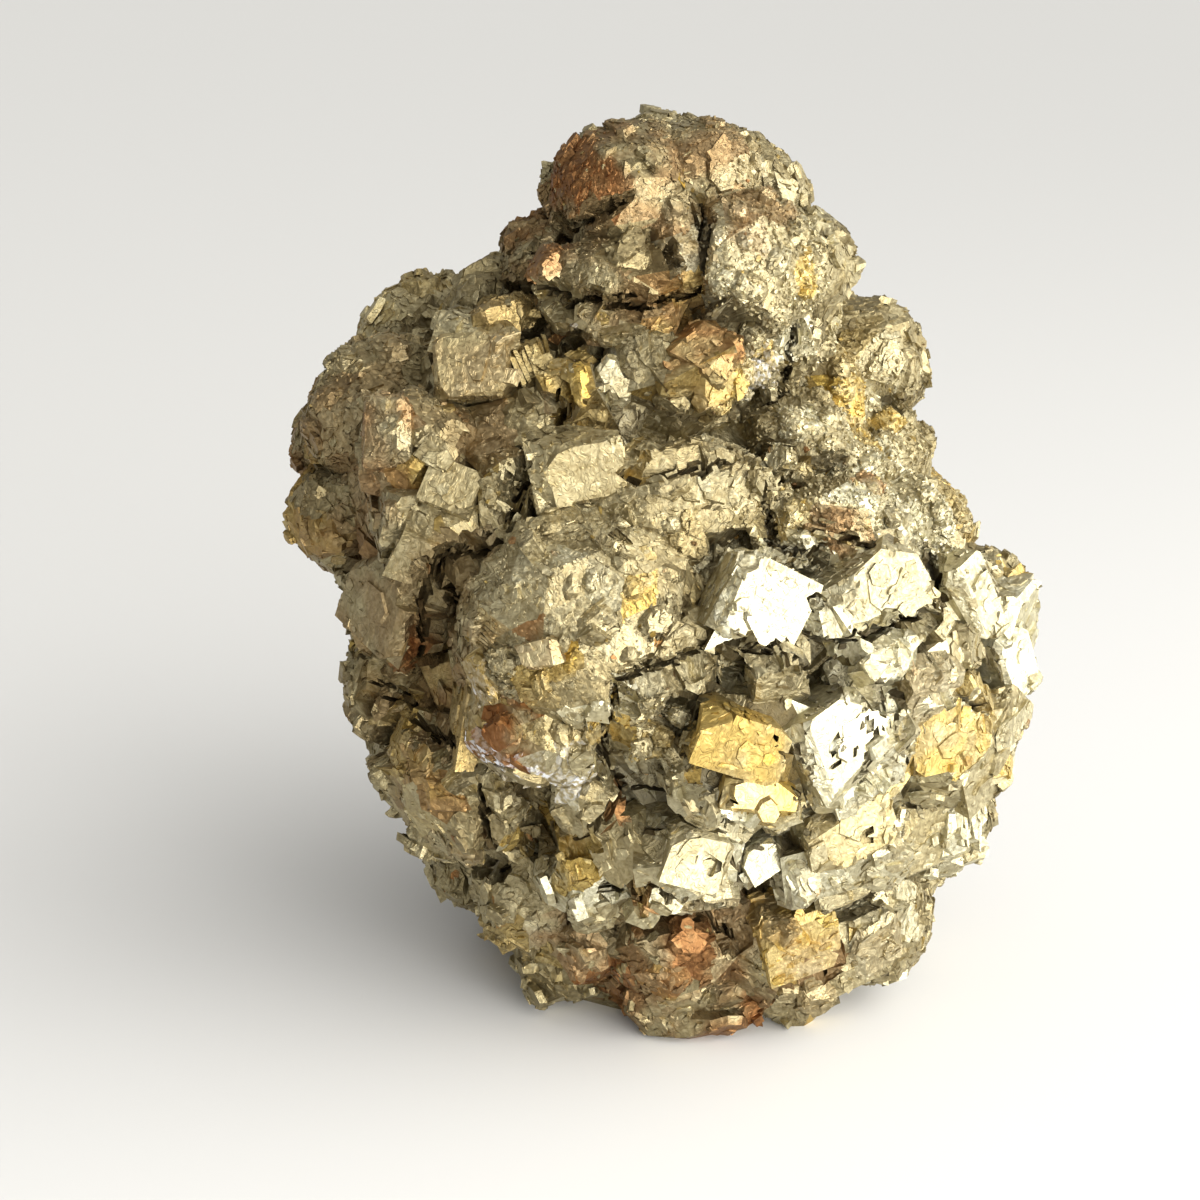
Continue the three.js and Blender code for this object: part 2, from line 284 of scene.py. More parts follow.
def scatter(mesh, count, rng, weight=None):
    """Random points on a mesh, by area and weight, with the outward direction and the face at each."""
    tris, faces = triangles(mesh)
    points = read(mesh.vertices, "co")
    a, b, c = (points[tris[:, number]] for number in range(3))
    cross = np.cross(b - a, c - a)
    areas = np.linalg.norm(cross, axis=1)
    shares = areas if weight is None else areas * weight((a + b + c) / 3)
    picks = rng.choice(len(areas), count, p=shares / shares.sum())
    u, v = rng.random((2, count))
    flip = u + v > 1
    u[flip], v[flip] = 1 - u[flip], 1 - v[flip]
    at = a[picks] + u[:, None] * (b - a)[picks] + v[:, None] * (c - a)[picks]
    return at, cross[picks] / areas[picks][:, None], faces[picks]


def tree_of(points):
    tree = KDTree(len(points))
    for index, point in enumerate(points):
        tree.insert(point, index)
    tree.balance()
    return tree


def thinned(points, gaps, kept_first=0):
    """The points that keep their own gap from every one kept before them. The first ones always stay."""
    tree, dropped, kept = tree_of(points), np.zeros(len(points), bool), []
    for index, gap in enumerate(gaps):
        if index < kept_first or not dropped[index]:
            kept.append(index)
            for _, other, _ in tree.find_range(points[index], gap):
                dropped[other] = True
    return np.array(kept)


rng = np.random.default_rng(21)
tries = 4500
turned, tilted, spins = (np.radians([row[number] for row in large]) for number in (1, 2, 3))
large_out = np.stack([np.sin(turned) * np.cos(tilted), -np.cos(turned) * np.cos(tilted), np.sin(tilted)], 1)
sunk = 0.3 * MM
large_at = np.array([place(*row[0]) for row in large]) - sunk * large_out
large_widths = np.array([row[4] for row in large])
at, outs, _ = scatter(skin.data, tries, rng)
druse, grain = spots(at, druse_spots), spots(at, grain_spots)
block = spots(at, block_spots) * (1 - druse) * (1 - grain)
knobby = spots(at, knob_spots) * (1 - druse)
fine = spots(at, fine_spots) * (1 - knobby)
growth = 1 + 0.3 * block - 0.35 * druse - 0.55 * grain - 0.45 * fine - 0.15 * knobby
across = rng.uniform(2.6, 4.8, tries) * growth
open_way = lobe_openness(at, outs)
across *= 0.3 + 0.7 * open_way ** 2
room = np.linalg.norm(at[:, None] - large_at[None], axis=2) / MM - 0.45 * large_widths
across = np.minimum(across, np.maximum(2 * room.min(1) + 0.6, 1.2))
gaps = np.concatenate([0.58 * large_widths, across * (0.68 + 0.12 * knobby)]) * MM
at = np.concatenate([large_at, at - outs * (shut(open_way) * 0.75 * deepest)[:, None]])
kept = thinned(at, gaps, len(large))
more = kept[len(large):] - len(large)
family = {"at": at[kept], "out": np.concatenate([large_out, outs[more]])}
across = across[more]
sizes = np.stack([across, across * rng.uniform(0.6, 1, len(more)), np.minimum(across * 0.9, 2)], 1)
family["size"] = np.concatenate([[(row[4], row[5], 4) for row in large], sizes]) * MM
family["turn"] = framed(family["out"], np.concatenate([spins, rng.random(len(more)) * 2 * math.pi]))
lean = np.concatenate([np.zeros(len(large)), 6 + 4 * block[more]])
family["turn"] = nudged(family["turn"], lean, rng)
family["free"] = lobe_openness(family["at"], family["out"])
gold, rusty, brown, silver, pale = (spots(family["at"], rows) for rows in
                                    (gold_spots, rust_spots, brown_spots, silver_spots, painted_light_spots))
draw = rng.random((5, len(kept)))
# The painted light on the lower right front raises the tone there.
tone = 0.08 + 0.6 * draw[0] + 0.3 * silver + 0.4 * pale - 0.25 * brown - 0.35 * rusty
family["tone"] = np.clip(tone, 0, 1)
often_gilt = 0.13 + 0.6 * gold - 0.1 * silver - 0.08 * brown - 0.08 * pale
family["gilt"] = (draw[1] < often_gilt) * (0.25 + 0.75 * draw[2])
family["rust"] = np.maximum((draw[3] < 0.015 + 0.8 * rusty) * (0.5 + 0.5 * draw[4]), brown * 0.6 * draw[4])
family["bare"] = 0.8 * rng.random(len(kept)) ** 1.3 * (1 - spots(family["at"], druse_spots))
for column, name in enumerate(("tone", "gilt", "rust", "bare"), 6):
    family[name][:len(large)] = [row[column] for row in large]
family_tree = tree_of(family["at"])


def family_of(points):
    return np.array([family_tree.find(point)[1] for point in points])


# What each crystal's faces carry: its family, a tone from dull to pale, how gilt and how rusty it has
# tarnished, how bare and how dusty it is, how open it lies, and how open the small groove around it is.
# A flat map follows each face's own edges.
# The finish paints shade into the colour where open and groove are low.
carried = ("family", "tone", "gilt", "rust", "bare", "dust", "open", "groove")


def finishes(points, own, free, rng):
    count = len(points)
    dust = spots(points, dust_spots) * np.clip(rng.uniform(-0.3, 1.3, count), 0, 1)
    alone = (rng.random(count) < 0.05) & (own >= len(large))
    gilt, rust = (
        np.where(alone, (rng.random(count) < often) * rng.uniform(0.3, 1, count), family[name][own])
        for name, often in (("gilt", 0.35), ("rust", 0.12)))
    tone = np.clip(0.75 * family["tone"][own] + 0.25 * rng.random(count), 0, 1)
    gilt = gilt * rng.uniform(0.6, 1, count)
    return {"family": own.astype(float), "tone": tone, "gilt": gilt, "rust": rust,
            "bare": family["bare"][own], "dust": dust, "open": free, "groove": np.ones(count)}


def give(mesh, values):
    for name in carried:
        layer = mesh.attributes.get(name) or mesh.attributes.new(name, "FLOAT", "FACE")
        layer.data.foreach_set("value", np.ascontiguousarray(values[name], np.float32))


def flat_map(mesh, uv):
    mesh.uv_layers.new(name="grain").data.foreach_set("uv", uv.astype(np.float32).ravel())


body.shade_flat()
corner_points = read(body.vertices, "co")[read(body.loops, "vertex_index", 1, np.int32)] / MM
flat_map(body, corner_points[:, [0, 2]] + corner_points[:, [1, 1]])
middles, outs = read(body.polygons, "center"), read(body.polygons, "normal")
give(body, finishes(middles, family_of(middles), lobe_openness(middles, outs), np.random.default_rng(3)))

# The crystals' shapes. Marcasite grows as squat blocks that crowd each other, so their edges and
# corners are cut off by further faces, as round knobs, and as ragged plates. Each is made once, one
# unit across, and copied.


class Shape:
    """One crystal's corners and faces, ready to be copied many times into one mesh."""

    def __init__(self, bm, peak=None):
        bmesh.ops.recalc_face_normals(bm, faces=bm.faces)
        bm.verts.index_update()
        self.corners = np.array([vert.co for vert in bm.verts])
        self.rims = np.array([float(peak is not None and vert != peak) for vert in bm.verts])
        faces = [[vert.index for vert in face.verts] for face in bm.faces]
        self.loops = np.concatenate([np.array(face) for face in faces])
        self.totals = np.array([len(face) for face in faces])
        axes = [max(range(3), key=lambda axis: abs(face.normal[axis])) for face in bm.faces]
        flat = np.repeat(np.array(axes), self.totals)
        self.across, self.along = (flat + 1) % 3, (flat + 2) % 3
        bm.free()


def nugget_shape(seed, edges, corners, keep=1.0):
    """A block cut by flat faces along its edges and across its corners, to these shares of its reach."""
    rng = np.random.default_rng(seed)
    bm = bmesh.new()
    bmesh.ops.create_cube(bm, size=1)
    ways = [Vector(way) for way in itertools.product((-1, 0, 1), repeat=3) if way[2] >= 0]
    for way in ways:
        if way.length < 1.2 or rng.random() > keep:
            continue
        least, most = edges if way.length < 1.6 else corners
        depth = way.length / 2 * rng.uniform(least, most)
        facing_way = (way + Vector(rng.uniform(-0.2, 0.2, 3))).normalized()
        cut = bmesh.ops.bisect_plane(
            bm, geom=bm.verts[:] + bm.edges[:] + bm.faces[:], plane_co=facing_way * depth,
            plane_no=facing_way, clear_outer=True)
        rim = [part for part in cut["geom_cut"] if isinstance(part, bmesh.types.BMEdge)]
        if rim:
            bmesh.ops.contextual_create(bm, geom=rim)
    bmesh.ops.remove_doubles(bm, verts=bm.verts, dist=0.03)
    return Shape(bm)


def plate_shape(seed, sides, top, peaked=False):
    """A ragged plate with a narrower top, which may rise a little to a peak."""
    rng = np.random.default_rng(seed)
    bm = bmesh.new()
    bmesh.ops.create_cone(bm, cap_ends=True, segments=sides, radius1=0.55, radius2=0.55 * top, depth=1)
    turns = 2 * math.pi / sides
    reach = rng.uniform(0.62, 1.15, sides)
    for vert in bm.verts:
        number = int(round(math.atan2(vert.co.y, vert.co.x) / turns)) % sides
        vert.co.x *= reach[number]
        vert.co.y *= reach[number]
    if not peaked:
        return Shape(bm)
    lid = max(bm.faces, key=lambda face: face.calc_center_median().z)
    peak = bmesh.ops.poke(bm, faces=[lid])["verts"][0]
    peak.co += Vector((*rng.uniform(-0.15, 0.15, 2), 0.05))
    return Shape(bm, peak)


def ball_shape(seed):
    """A round knob of many small faces."""
    rng = np.random.default_rng(seed)
    bm = bmesh.new()
    bmesh.ops.create_icosphere(bm, subdivisions=2, radius=0.5)
    for vert in bm.verts:
        vert.co *= rng.uniform(0.88, 1.04)
    return Shape(bm)


# Each kind has its first seed, how many there are, and how one is made.
kinds = {"knob": (40, 6, lambda seed: nugget_shape(seed, (0.72, 0.86), (0.6, 0.74))),
         "block": (50, 6, lambda seed: nugget_shape(seed, (0.8, 0.97), (0.7, 0.88), keep=0.75)),
         "chip": (60, 5, lambda seed: nugget_shape(seed, (0.78, 0.95), (0.66, 0.9), keep=0.35)),
         "plate": (70, 5, lambda seed: plate_shape(seed, 7, 0.86)),
         "grain": (80, 4, lambda seed: plate_shape(seed, 5, 0.5)),
         "scale": (90, 8, lambda seed: plate_shape(seed, 5 + seed % 2, 0.9, peaked=True)),
         "ball": (100, 4, ball_shape)}
shapes = {f"{kind} {number}": make(seed + number)
          for kind, (seed, many, make) in kinds.items() for number in range(many)}


def picked(count, rng, **kinds):
    """A shape for each crystal, from the share of each kind."""
    share = np.array([kinds.get(name.split()[0], 0) for name in shapes], float)
    return rng.choice(len(shapes), count, p=share / share.sum())


def hashed(keys):
    """A number from 0 to 1 for each whole number, the same each time."""
    turns = np.uint64(2 ** 32)
    mixed = np.asarray(keys, np.uint64) * np.uint64(2654435761) % turns
    mixed = (mixed ^ (mixed >> np.uint64(13))) * np.uint64(1274126177) % turns
    return mixed.astype(float) / 2 ** 32


def sheared(rows, amount):
    """A small shear for each crystal, that keeps its faces flat."""
    keys = rows[:, None, None] * 997 + np.arange(3)[None, :, None] * 3 + np.arange(3)[None, None]
    return np.eye(3) + amount[:, None, None] * (hashed(keys) - 0.5)


def crystal_mesh(name, batch):
    """One mesh of many crystals. batch gives each one's shape, centre, turn, size and finish."""
    parts = {key: [] for key in ("co", "loops", "totals", "uv", "rim") + carried}
    start = 0
    for number, shape in enumerate(shapes.values()):
        rows = np.flatnonzero(batch["shape"] == number)
        count, sides = len(shape.corners), len(shape.totals)
        local = np.einsum("nij,kj->nki", sheared(rows, batch["skew"][rows]), shape.corners)
        local = local * batch["size"][rows][:, None, :]
        world = np.einsum("nij,nkj->nki", batch["turn"][rows], local) + batch["at"][rows][:, None, :]
        parts["co"].append(world.reshape(-1, 3))
        offsets = start + count * np.arange(len(rows))
        parts["loops"].append((shape.loops[None] + offsets[:, None]).ravel())
        parts["totals"].append(np.tile(shape.totals, len(rows)))
        parts["rim"].append(np.tile(shape.rims, len(rows)))
        ends, picks = local[:, shape.loops] / MM, np.arange(len(shape.loops))
        uv = np.stack([ends[:, picks, shape.across], ends[:, picks, shape.along]], -1)
        parts["uv"].append((uv + 9 * batch["tone"][rows][:, None, None]).reshape(-1, 2))
        for key in carried:
            own = np.repeat(batch[key][rows], sides)
            if key == "tone":
                own = 0.8 * own + 0.2 * hashed(rows[:, None] * 31 + np.arange(sides)[None]).ravel()
            parts[key].append(own)
        start += count * len(rows)
    flat = {key: np.concatenate(values) for key, values in parts.items()}
    mesh = bpy.data.meshes.new(name)
    mesh.vertices.add(len(flat["co"]))
    mesh.vertices.foreach_set("co", flat["co"].astype(np.float32).ravel())
    mesh.loops.add(len(flat["loops"]))
    mesh.loops.foreach_set("vertex_index", flat["loops"].astype(np.int32))
    mesh.polygons.add(len(flat["totals"]))
    starts = np.concatenate([[0], np.cumsum(flat["totals"])[:-1]])
    mesh.polygons.foreach_set("loop_start", starts.astype(np.int32))
    mesh.update(calc_edges=True)
    mesh.shade_flat()
    flat_map(mesh, flat["uv"])
    give(mesh, flat)
    rim = mesh.attributes.new("rim", "FLOAT", "POINT")
    rim.data.foreach_set("value", flat["rim"].astype(np.float32))
    return mesh


def grouped(points, reach):
    """A group number for each crystal, such that two of a group never touch."""
    tree, groups, widest = tree_of(points), np.full(len(points), -1), reach.max()
    for index, own in enumerate(reach):
        taken = {groups[other] for _, other, distance in tree.find_range(points[index], own + widest)
                 if groups[other] >= 0 and distance < own + reach[other]}
        groups[index] = next(number for number in range(len(points)) if number not in taken)
    return groups


def join(whole, part, operation="UNION"):
    step = whole.modifiers.new("join", "BOOLEAN")
    step.operation = operation
    step.solver = "MANIFOLD"
    step.object = part
    finish_modifiers(whole)
    mesh = part.data
    bpy.data.objects.remove(part)
    bpy.data.meshes.remove(mesh)


def chosen(batch, rows):
    return {key: values[rows] for key, values in batch.items()}


def grow(whole, batch, operation="UNION"):
    """Joins the crystals to each other, group by group, and then all of them to the whole."""
    reach = np.linalg.norm(batch["size"], axis=1) / 2 * (1 + batch["skew"])
    groups = grouped(batch["at"], reach)
    joined = None
    for number in range(groups.max() + 1):
        part = add_object("joining", crystal_mesh("joining", chosen(batch, groups == number)))
        if joined is None:
            joined = part
        else:
            join(joined, part)
    join(whole, joined, operation)


def within_box(batch):
    """The same crystals, with those that would reach out of the nodule's box moved back inside."""
    reach = np.abs(batch["turn"] * batch["size"][:, None, :]).sum(2) / 2 * (1 + batch["skew"][:, None])
    batch["at"] = np.clip(batch["at"], np.array(low) + reach, np.array(high) - reach)
    return batch


def crystals(at, outs, own, turns, sizes, proud, shape, skew, rng, groove=None):
    """A batch of crystals. proud is how far each one's outer face stands out."""
    batch = finishes(at, own, lobe_openness(at, outs), rng)
    if groove is not None:
        batch["groove"] = groove
    batch["shape"] = shape
    batch["size"] = sizes
    batch["at"] = at + turns[:, :, 2] * (proud - sizes[:, 2] / 2)[:, None]
    batch["turn"] = turns
    batch["skew"] = np.broadcast_to(skew, len(at)).astype(float)
    return within_box(batch)


def in_the_open(batch, least):
    """The crystals that don't fill a crevice."""
    return chosen(batch, batch["open"] > least)


def facing(turns, outs):
    """The same directions with their names changed, so that the third is the one nearest to outwards."""
    lined = np.einsum("nji,nj->ni", turns, outs)
    third = np.abs(lined).argmax(1)
    rows = np.arange(len(turns))
    up = turns[rows, :, third] * np.sign(lined[rows, third])[:, None]
    across = turns[rows, :, (third + 1) % 3]
    return np.stack([across, np.cross(up, across), up], -1), np.abs(lined).max(1), third


# The first crystal of each family: a block with bare faces, several millimetres across in the large
# ones, or a knob, round on the crown and in the druse, and elsewhere with all its edges cut off.
rng = np.random.default_rng(22)
count = len(family["at"])
is_large = np.arange(count) < len(large)
large_rise = 0.75 * MM
block, fine = spots(family["at"], block_spots), spots(family["at"], fine_spots)
rise = 0.2 * fine + 0.45 * spots(family["at"], knob_spots)
proud = (rng.uniform(0.05, 0.35, count) + rise) * MM * family["free"]
proud[is_large] = large_rise
shape = np.where(is_large | (rng.random(count) < 0.1 + 0.6 * block), picked(count, rng, block=3, chip=1),
                 picked(count, rng, knob=1))
round_share = np.maximum(spots(family["at"], knob_spots + druse_spots + grain_spots), fine)
balls = ~is_large & (rng.random(count) < 0.9 * round_share) & (family["size"][:, 0] > 1.3 * MM)
shape[balls] = picked(balls.sum(), rng, ball=1)
proud[balls] = rng.uniform(0.4, 0.85, balls.sum()) * MM * family["free"][balls] * (1 - 0.4 * fine[balls])
family["size"][balls, 1:] = family["size"][balls, :1] * rng.uniform(0.8, 1, (balls.sum(), 2))
first = crystals(family["at"], family["out"], np.arange(count), family["turn"], family["size"], proud,
                 shape, np.where(is_large, 0.05, 0.3), rng)
grow(nodule, in_the_open(first, 0.55))

# The layers that end part-way across the larger blocks' faces, so that these step up in ragged lines.
rng = np.random.default_rng(24)
wide = np.flatnonzero((family["size"][:, 0] > 2.6 * MM) & (family["free"] > 0.45))
layers_each = 2
own = np.repeat(wide, layers_each)
count = len(own)
local = rng.uniform(-0.55, 0.55, (count, 2)) * family["size"][own][:, :2] / 2
across, along, outs = (family["turn"][own][:, :, number] for number in range(3))
at = family["at"][own] + across * local[:, :1] + along * local[:, 1:]
rise = np.where(own < len(large), large_rise, 0.25 * MM * family["free"][own])
spin = rng.random(count) * 2 * math.pi
cos, sin = np.cos(spin)[:, None], np.sin(spin)[:, None]
turned = np.stack([across * cos + along * sin, along * cos - across * sin, outs], -1)
width = family["size"][own, 0] * rng.uniform(0.3, 0.7, count)
sizes = np.stack([width, width * rng.uniform(0.5, 0.95, count), np.full(count, 0.5 * MM)], 1)
turned = nudged(turned, 1.5, rng)
proud = rise + rng.uniform(0.04, 0.2, count) * MM
layer = crystals(at, outs, own, turned, sizes, proud, picked(count, rng, plate=1), 0.2, rng)
grow(nodule, in_the_open(layer, 0.7))

# The pits in the largest faces, each cut by a cluster of chips: a place, a reach in millimetres, and
# how many chips.
pit_places = [
    ((73.5, 7.5, 42.5), 0.5, 6), ((74, 8.5, 41), 0.5, 5), ((73.5, 6.5, 38.5), 0.2, 3),
    ((74, 6, 37), 0.4, 6), ((69, 7, 39), 0.5, 5), ((62.5, 1, 41), 0.35, 4), ((63, 1, 39.5), 0.35, 4),
    ((57, 0, 34.5), 0.2, 3), ((74.5, 10, 28.5), 0.25, 3)]
at = np.concatenate([np.array(place(*spot)) + rng.normal(0, reach * MM, (chips, 3))
                     for spot, reach, chips in pit_places])
pitted = faces_of(nodule)
at = np.array([pitted.find_nearest(spot)[0] for spot in at])
own = family_of(at)
count = len(at)
across = rng.uniform(0.4, 0.9, count) * MM
sizes = np.stack([across, across * rng.uniform(0.4, 0.8, count), np.full(count, 0.9 * MM)], 1)
pits = crystals(at, family["turn"][own][:, :, 2], own, nudged(family["turn"][own], 35, rng), sizes,
                np.full(count, 0.4 * MM), picked(count, rng, chip=1), 0.8, rng)
# Painted shade: the pit walls count as less open, so the finish paints them darker.
pits["open"] *= 0.7
grow(nodule, pits, "DIFFERENCE")

# Combs: rows of thin upright plates, side by side, where a block grew as a stack of leaves.
rng = np.random.default_rng(25)
comb_places = [
    (80, 15.5, 48.5), (84, 17, 46), (70, 15, 18), (61, 12, 24), (29, 9, 47), (33, 7, 43), (15, 26, 68),
    (19, 24, 72), (27, 7, 52), (75, 20, 22), (52, 15, 19), (40, 12, 60), (66, 10, 47), (24, 24, 58),
    (88, 30, 25), (42, 9, 36)]
by_hand = [family_tree.find(place(*at))[1] for at in comb_places]
by_chance = np.flatnonzero((rng.random(len(family["at"])) < 0.05) & (family["size"][:, 0] > 1.6 * MM))
own = np.array(sorted(set(by_hand) | set(by_chance[by_chance >= len(large)])))
leaves = 7
own = np.repeat(own, leaves)
step = np.tile(np.arange(leaves) - (leaves - 1) / 2, len(own) // leaves)
count = len(own)
widest_leaf = 0.36 * MM
spread = np.minimum(family["size"][own, 1] / leaves * 1.1, widest_leaf)
at = family["at"][own] + family["turn"][own][:, :, 1] * (step * spread)[:, None]
sizes = np.stack([family["size"][own, 0] * rng.uniform(0.6, 1.0, count),
                  spread * rng.uniform(0.6, 0.95, count), np.full(count, 1.6 * MM)], 1)
proud = (rng.uniform(0.15, 0.4, count) - 0.02 * step ** 2) * MM
comb = crystals(at, family["turn"][own][:, :, 2], own, nudged(family["turn"][own], 7, rng), sizes, proud,
                picked(count, rng, block=2, chip=1), 0.4, rng)
grow(nodule, in_the_open(comb, 0.55))

# The crystals that grew beside and on them, parallel to them: blocks and chips, one millimetre to two.
rng = np.random.default_rng(23)


def on_faces(count, rng, weight=None):
    """Points on the nodule's faces as they are now, and how each lies in its family's own box."""
    at, outs, faces = scatter(nodule.data, count, rng, weight)
    layer = nodule.data.attributes["family"].data
    own = read(layer, "value", 1)[faces].round().astype(int)
    turns, lined, third = facing(family["turn"][own], outs)
    slanting = lined < 0.93
    turns[slanting] = framed(outs[slanting], hashed(own[slanting]) * 7 + rng.normal(0, 0.3, slanting.sum()))
    local = np.einsum("nji,nj->ni", family["turn"][own], at - family["at"][own]) / family["size"][own] * 2
    edge = np.abs(local[:, :2]).max(1)
    inside = np.clip((1.02 - edge) / 0.25, 0, 1) * (third == 2) * (lined > 0.94)
    return at, outs, own, turns, family["bare"][own] * inside


def only(rows, *values):
    return [value[rows] for value in values]


at, outs, own, turns, bare = on_faces(16000, rng)
druse, grain = spots(at, druse_spots), spots(at, grain_spots)
across = rng.uniform(0.8, 1.8, len(at)) * (1 - 0.3 * druse - 0.4 * grain)
stays = (rng.random(len(at)) > np.maximum(bare, 0.8 * spots(at, knob_spots))) & (at[:, 2] > 0.3 * MM)
at, outs, own, turns, across, bare, druse = only(stays, at, outs, own, turns, across, bare, druse)
kept = thinned(at, across * 0.85 * MM)[:680]
at, outs, own, turns, across, bare, druse = only(kept, at, outs, own, turns, across, bare, druse)
count = len(at)
turns = nudged(turns, 2 + 14 * rng.random(count) ** 3 + 12 * druse, rng)
sizes = np.stack([across, across * rng.uniform(0.4, 0.9, count),
                  across * rng.uniform(0.5, 0.8, count)], 1) * MM
proud = rng.uniform(0.02, 0.12, count) * across * MM
batch = crystals(at, outs, own, turns, sizes, proud, picked(count, rng, block=1, chip=2), 0.6, rng)
grow(nodule, in_the_open(batch, 0.6))

# The clefts that part the lobes and the largest blocks. Each is a width in millimetres and a line of
# places. A row of blocks stood on edge opens its mouth, and one of narrow blocks cuts on below, so that
# its walls are left ragged.
clefts = [
    (2, (34, 34, 82), (39, 27, 82), (49, 26, 82), (54, 29, 83)),
    (1.5, (54, 33, 91), (54, 30, 89), (53, 28, 84)),
    (1.5, (44, 30, 92), (39, 35, 89), (36, 41, 87), (34, 40, 84)),
    (2.3, (37, 26, 72), (33, 19, 66), (29, 16, 60), (22, 20, 54), (20, 23, 45)),
    (1.8, (40, 25, 69), (48, 17, 67), (54, 18, 68), (63, 27, 67)),
    (1.8, (63, 22, 66), (62, 15, 59), (66, 15, 57)),
    (1.2, (66, 15, 57), (71, 15, 59), (76, 16, 58)),
    (2, (66, 35, 78), (66, 35, 74), (64, 31, 71)),
    (2, (45, 3, 47), (54, 7, 48), (61, 5, 50), (67, 11, 48), (76, 11, 51), (83, 18, 51)),
    (1.2, (66, 15, 57), (66, 8, 55), (67, 10, 50)),
    (2, (44, 3, 46), (43, 5, 42), (43, 8, 38), (45, 13, 33)),
    (2.3, (12, 28, 40), (20, 23, 38), (27, 15, 34), (36, 11, 32)),
    (1.6, (38, 15, 26), (42, 9, 29), (45, 10, 32), (49, 12, 32)),
    (1.5, (53, 7, 43), (53, 4, 39), (53, 3, 33), (56, 4, 29), (66, 11, 29)),
    (0.9, (64.5, 5, 42), (65, 6, 37), (65.5, 10, 30)),
    (1.2, (77, 13, 44), (79, 11, 41), (80, 14, 35)),
    (1.4, (79, 13, 43), (85, 19, 42), (92, 26, 40)),
    (1.5, (43, 13, 21), (48, 6, 22), (54, 7, 19), (57, 19, 16), (59, 17, 13)),
    (1.5, (73, 21, 15), (72, 19, 12), (72, 20, 8)),
    (1.4, (84, 31, 55), (84, 28, 50)),
    (1.8, (27, 15, 31), (28, 16, 27), (28, 26, 19))]
rng = np.random.default_rng(26)
stride = 0.55 * MM
line_at, line_way, widths = [], [], []
for width, *corners in clefts:
    places = [place(*corner) for corner in corners]
    for start, end in zip(places, places[1:]):
        steps = max(2, int((end - start).length / stride))
        for number in range(steps):
            line_at.append(start.lerp(end, number / steps))
            line_way.append((end - start).normalized())
            widths.append(width)
found = [skin_tree.find_nearest(point) for point in line_at]
line_at = np.array([spot for spot, _, _, _ in found]) + rng.normal(0, 0.15 * MM, (len(found), 3))
line_out = np.array([out for _, out, _, _ in found])
for _ in range(3):
    line_out[1:-1] = line_out[:-2] + line_out[1:-1] + line_out[2:]
    line_out /= np.linalg.norm(line_out, axis=1)[:, None]
line_way = np.array(line_way)
side = np.cross(line_way, line_out)
side /= np.linalg.norm(side, axis=1)[:, None]
along = np.cross(side, line_out)
upright = np.stack([along, side, line_out], -1)
slanted = np.stack([along, (side + line_out) / math.sqrt(2), (line_out - side) / math.sqrt(2)], -1)
count = len(found)
own = family_of(line_at)
wide = np.array(widths) * rng.uniform(0.75, 1.2, count)
sizes = np.stack([rng.uniform(1.2, 2.2, count), wide, wide * rng.uniform(0.8, 1.2, count)], 1) * MM
mouths = line_at + line_out * 0.15 * wide[:, None] * MM
opened = crystals(mouths, line_out, own, nudged(slanted, 16, rng), sizes, sizes[:, 2] / 2,
                  picked(count, rng, block=1), 0.5, rng)
depth = np.clip(2.6 * wide - 1, 0.9, 3.4)
sizes = np.stack([rng.uniform(0.9, 1.8, count), rng.uniform(0.25, 0.55, count), depth], 1) * MM
parted = crystals(line_at, line_out, own, nudged(upright, 26, rng), sizes, np.full(count, 0.8 * MM),
                  picked(count, rng, block=1), 0.5, rng)
# Painted shade: the cleft walls count as less open, so the finish paints them darker.
parted["open"] *= 0.5
cut = {key: np.concatenate([opened[key], parted[key]]) for key in opened}
grow(nodule, chosen(cut, cut["at"][:, 2] > foot), "DIFFERENCE")

# How open the small grooves between the crystals are at the middle of each face, which the finish turns
# into painted shade.
nodule_tree = faces_of(nodule)


def groove_openness(points, outs):
    return openness(points, outs, nodule_tree, 0.05 * MM, 1.4 * MM, half_sphere(7))


body = nodule.data
tris, faces = triangles(body)
order = np.argsort(read(body.loop_triangles, "area", 1))
widest = np.zeros(len(body.polygons), int)
widest[faces[order]] = order
middles = read(body.vertices, "co")[tris[widest]].mean(1)
grooves = groove_openness(middles, read(body.polygons, "normal"))
body.attributes["groove"].data.foreach_set("value", grooves.astype(np.float32))

# The smallest crystals: ragged scales that roughen the faces, in three sizes, with chips among them,
# the sugar of fine grains on the crown's knobs, and the druse that sparkles on the lobes between.
pieces = [nodule]


def lies_on_all_round(at, turns, sizes):
    """Whether each crystal's foot rests on the nodule everywhere, and hangs over no edge."""
    held = np.ones(len(at), bool)
    for index, (point, turn, span) in enumerate(zip(at, turns, sizes)):
        across, along, out = (Vector(turn[:, number]) for number in range(3))
        for side in (across * span[0], along * span[1]):
            for way in (0.42, -0.42):
                start = Vector(point) + side * way + out * 0.25 * MM
                if nodule_tree.ray_cast(start, -out, 0.6 * MM)[3] is None:
                    held[index] = False
    return held


